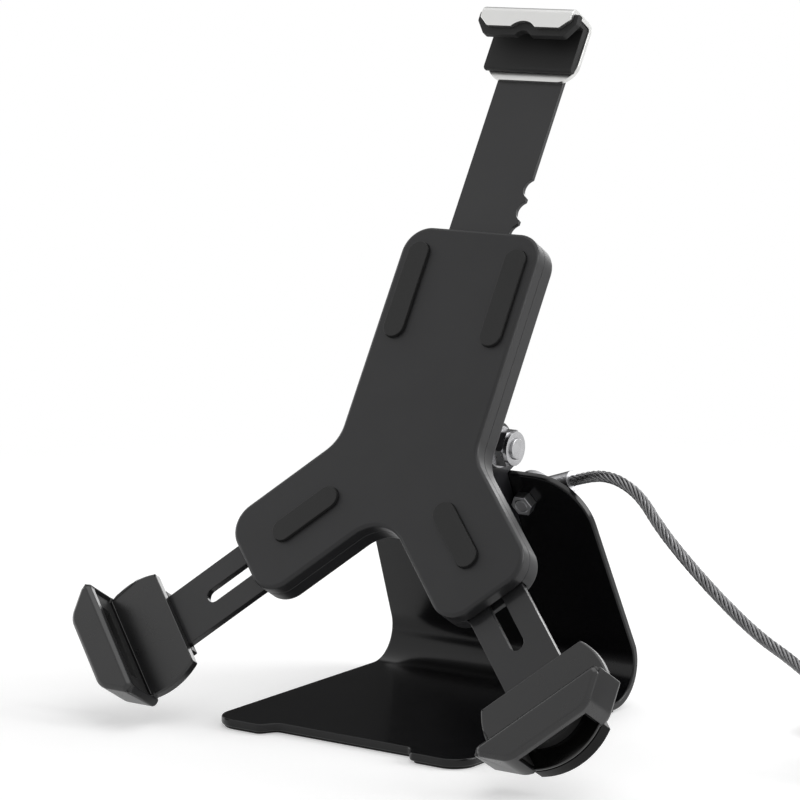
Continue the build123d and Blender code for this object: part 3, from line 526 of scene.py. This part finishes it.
# Top arm: a notched black steel bar, riveted to a bent hook plated in satin silver. Black
# rubber lines the hook and shows as a border round its lip.
bar_paint = finish("black bar paint", (0.018, 0.018, 0.019), roughness=0.3, coat=0.2)
satin_silver = finish(
    "satin silver plate",
    (0.66, 0.66, 0.65),
    roughness=0.32,
    metallic=1.0,
    tone_shift=0.06,
    roughness_shift=0.06,
    patch_scale=150.0,
    grain_scale=4000.0,
    grain_depth=0.000002,
)
softened("top_arm_bar", plain_edge, bar_paint)
softened("top_clamp_hook", small_edge, satin_silver)
softened("top_clamp_trim", plain_edge, pad_rubber)
softened("top_clamp_rivets", small_edge, zinc)


# Lower arms: slotted black steel bars that slide between the hub's shells, held by a washer
# and a clamp screw each.
for side in ("right", "left"):
    softened("arm_bar_" + side, plain_edge, bar_paint)
softened("arm_clamp_screws", plain_edge, zinc)
softened("arm_clamp_washers", fine_edge, zinc)


# Corner grips: satin charcoal mouldings with a bevelled lip and a window in the corner that
# shows a thin dark floor, soft rubber inside, and a black end cap under the arm's end. The cap
# is black moulding whose colour and sheen are taken lower still, as painted shade.
grip_plastic = finish(
    "grip moulding",
    (0.013, 0.013, 0.0135),
    roughness=0.28,
    specular=0.5,
    grain_scale=1800.0,
    grain_depth=0.000003,
)
floor_plastic = finish(
    "grip floor moulding",
    (0.003, 0.003, 0.003),
    roughness=0.15,
    specular=0.5,
)
# End cap: black moulding, partly painted shade. Its colour is darker and its sheen far lower than
# the grip's, so it reads as the shadow seen in the window.
cap_black_and_painted_shade = finish(
    "end cap moulding, painted shade",
    (0.003, 0.003, 0.003),
    roughness=0.25,
    specular=0.06,
)
head_lean = math.radians(31.4)
head_normal = Vector((0, -math.cos(head_lean), math.sin(head_lean)))
head_up = Vector((0, math.sin(head_lean), math.cos(head_lean)))
tilt_axis_place = Vector((0, 0.0165, 0.103))
hub_reach = 0.0315
hub_middle = tilt_axis_place + head_normal * hub_reach
grip_edge = 0.0005
grip_aside = 0.08945
grip_below = 0.102
floor_radius = 0.0249
floor_thickness = 0.0012
floor_top = -0.0041
floor_cut = 0.008
floor_edge = 0.0003
floor_sides = 128


def grip_floor(name, way):
    """The part of the grip's round floor that the window in the corner shows."""
    middle = hub_middle + Vector((way * grip_aside, 0, 0)) - head_up * grip_below
    inward = (head_up - Vector((way, 0, 0))).normalized()
    upright = Vector((0, 0, 1)).rotation_difference(head_normal).to_matrix().to_4x4()
    lift = head_normal * (floor_top - floor_thickness / 2)
    disc = bmesh.new()
    bmesh.ops.create_cone(
        disc,
        cap_ends=True,
        segments=floor_sides,
        radius1=floor_radius,
        radius2=floor_radius,
        depth=floor_thickness,
        matrix=Matrix.Translation(middle + lift) @ upright,
    )
    cut = bmesh.ops.bisect_plane(
        disc,
        geom=[*disc.verts, *disc.edges, *disc.faces],
        plane_co=middle - inward * floor_cut,
        plane_no=inward,
        clear_outer=True,
    )
    rim = [part for part in cut["geom_cut"] if isinstance(part, bmesh.types.BMEdge)]
    bmesh.ops.edgeloop_fill(disc, edges=rim)
    bmesh.ops.bevel(
        disc,
        geom=sharp_edges(disc.edges),
        offset=floor_edge,
        segments=edge_segments,
        profile=0.5,
        affect="EDGES",
        material=-1,
    )
    return new_object(name, disc)


for side, way in (("right", 1), ("left", -1)):
    floor_piece = grip_floor("grip_floor_" + side, way)
    floor_piece.data.materials.append(floor_plastic)
    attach(floor_piece, side + "_arm")
    softened("grip_" + side, grip_edge, grip_plastic)
    softened("grip_liner_" + side, fine_edge, pad_rubber)
    softened("arm_end_cap_" + side, plain_edge, cap_black_and_painted_shade)
    softened("grip_screws_" + side, small_edge, screw_black)


# Studio: a pale floor that fades into white away from the stand, a surround seen as white with
# one dark card that only reflections show, and four soft lamps.
floor_half = 6.0
floor_near = 0.30
floor_far = 0.62
floor_tone = 0.80
floor_roughness = 0.6
floor_specular = 0.1
floor_glow = 0.37
sky_strength = 0.45
white_strength = 1.0
card_strength = 0.05
card_way = Vector((-0.70, 0.70, 0.25))
card_inner = math.radians(16)
card_outer = math.radians(25)
light_aim = Vector((0, 0, 0.10))
softboxes = [
    ("top softbox", (0.1, 0.3, 1.5), 1.4, 1.2, 6),
    ("right softbox", (1.2, 0.75, 0.75), 0.9, 0.9, 12),
    ("left softbox", (-1.4, -0.2, 0.5), 0.7, 0.9, 4),
    ("back softbox", (-0.25, 1.45, 0.28), 0.6, 0.4, 2),
]


def math_result(tree, operation, first, second):
    """The result of a math node that works on two other nodes' results."""
    made = tree.nodes.new("ShaderNodeMath")
    made.operation = operation
    tree.links.new(first, made.inputs[0])
    tree.links.new(second, made.inputs[1])
    return made.outputs[0]


def faded_result(tree, value, low, high):
    """The result of a node that rises smoothly from nought to one between two values."""
    made = tree.nodes.new("ShaderNodeMapRange")
    made.interpolation_type = "SMOOTHSTEP"
    made.inputs["From Min"].default_value = low
    made.inputs["From Max"].default_value = high
    tree.links.new(value, made.inputs["Value"])
    return made.outputs["Result"]


def mixed_result(tree, share, first, second):
    """The blend of two shaders, by the second one's share."""
    made = tree.nodes.new("ShaderNodeMixShader")
    tree.links.new(share, made.inputs["Fac"])
    tree.links.new(first, made.inputs[1])
    tree.links.new(second, made.inputs[2])
    return made.outputs[0]


def seen_result(tree, path):
    """One for camera, transmission and glossy rays, and nought for rays that only light."""
    clear = math_result(
        tree, "MAXIMUM", path.outputs["Is Camera Ray"], path.outputs["Is Transmission Ray"]
    )
    return math_result(tree, "MAXIMUM", clear, path.outputs["Is Glossy Ray"])


floor_shape = bmesh.new()
bmesh.ops.create_grid(floor_shape, x_segments=1, y_segments=1, size=floor_half)
floor = new_object("floor", floor_shape)
floor_material = bpy.data.materials.new("floor")
floor_material.use_nodes = True
floor_tree = floor_material.node_tree
floor_shader = floor_tree.nodes["Principled BSDF"]
floor_shader.inputs["Base Color"].default_value = (floor_tone, floor_tone, floor_tone, 1)
floor_shader.inputs["Roughness"].default_value = floor_roughness
floor_shader.inputs["Specular IOR Level"].default_value = floor_specular
floor_shader.inputs["Emission Color"].default_value = (1, 1, 1, 1)
floor_seen = seen_result(floor_tree, floor_tree.nodes.new("ShaderNodeLightPath"))
floor_lift = floor_tree.nodes.new("ShaderNodeMath")
floor_lift.operation = "MULTIPLY"
floor_lift.inputs[1].default_value = floor_glow
floor_tree.links.new(floor_seen, floor_lift.inputs[0])
floor_tree.links.new(floor_lift.outputs[0], floor_shader.inputs["Emission Strength"])
floor_place = floor_tree.nodes.new("ShaderNodeTexCoord")
floor_distance = floor_tree.nodes.new("ShaderNodeVectorMath")
floor_distance.operation = "LENGTH"
floor_tree.links.new(floor_place.outputs["Object"], floor_distance.inputs[0])
floor_fade = faded_result(floor_tree, floor_distance.outputs["Value"], floor_near, floor_far)
white_share = math_result(floor_tree, "MULTIPLY", floor_fade, floor_seen)
white_floor = floor_tree.nodes.new("ShaderNodeEmission")
floor_mix = mixed_result(
    floor_tree, white_share, floor_shader.outputs[0], white_floor.outputs[0]
)
floor_tree.links.new(floor_mix, floor_tree.nodes["Material Output"].inputs["Surface"])
floor.data.materials.append(floor_material)

world = bpy.data.worlds.new("studio")
bpy.context.scene.world = world
world.use_nodes = True
sky_tree = world.node_tree
sky_tree.nodes.clear()
sky_path = sky_tree.nodes.new("ShaderNodeLightPath")
sky_seen = seen_result(sky_tree, sky_path)
sky_way = sky_tree.nodes.new("ShaderNodeTexCoord")
to_card = sky_tree.nodes.new("ShaderNodeVectorMath")
to_card.operation = "DOT_PRODUCT"
to_card.inputs[1].default_value = card_way.normalized()
sky_tree.links.new(sky_way.outputs["Generated"], to_card.inputs[0])
on_card = faded_result(
    sky_tree, to_card.outputs["Value"], math.cos(card_outer), math.cos(card_inner)
)
card_seen = math_result(sky_tree, "MULTIPLY", sky_path.outputs["Is Glossy Ray"], on_card)
backgrounds = []
for strength in (sky_strength, white_strength, card_strength):
    background = sky_tree.nodes.new("ShaderNodeBackground")
    background.inputs["Color"].default_value = (1, 1, 1, 1)
    background.inputs["Strength"].default_value = strength
    backgrounds.append(background.outputs[0])
lit_sky, white_sky, dark_card = backgrounds
sky_mix = mixed_result(sky_tree, sky_seen, lit_sky, white_sky)
card_mix = mixed_result(sky_tree, card_seen, sky_mix, dark_card)
sky_out = sky_tree.nodes.new("ShaderNodeOutputWorld")
sky_tree.links.new(card_mix, sky_out.inputs["Surface"])

for name, place, width, height, power in softboxes:
    lamp_data = bpy.data.lights.new(name, "AREA")
    lamp_data.shape = "RECTANGLE"
    lamp_data.size = width
    lamp_data.size_y = height
    lamp_data.energy = power
    lamp = bpy.data.objects.new(name, lamp_data)
    bpy.context.scene.collection.objects.link(lamp)
    lamp.location = place
    lamp.visible_camera = False
    lamp.rotation_euler = (light_aim - Vector(place)).to_track_quat("-Z", "Y").to_euler()

bpy.context.scene.view_settings.view_transform = "Standard"
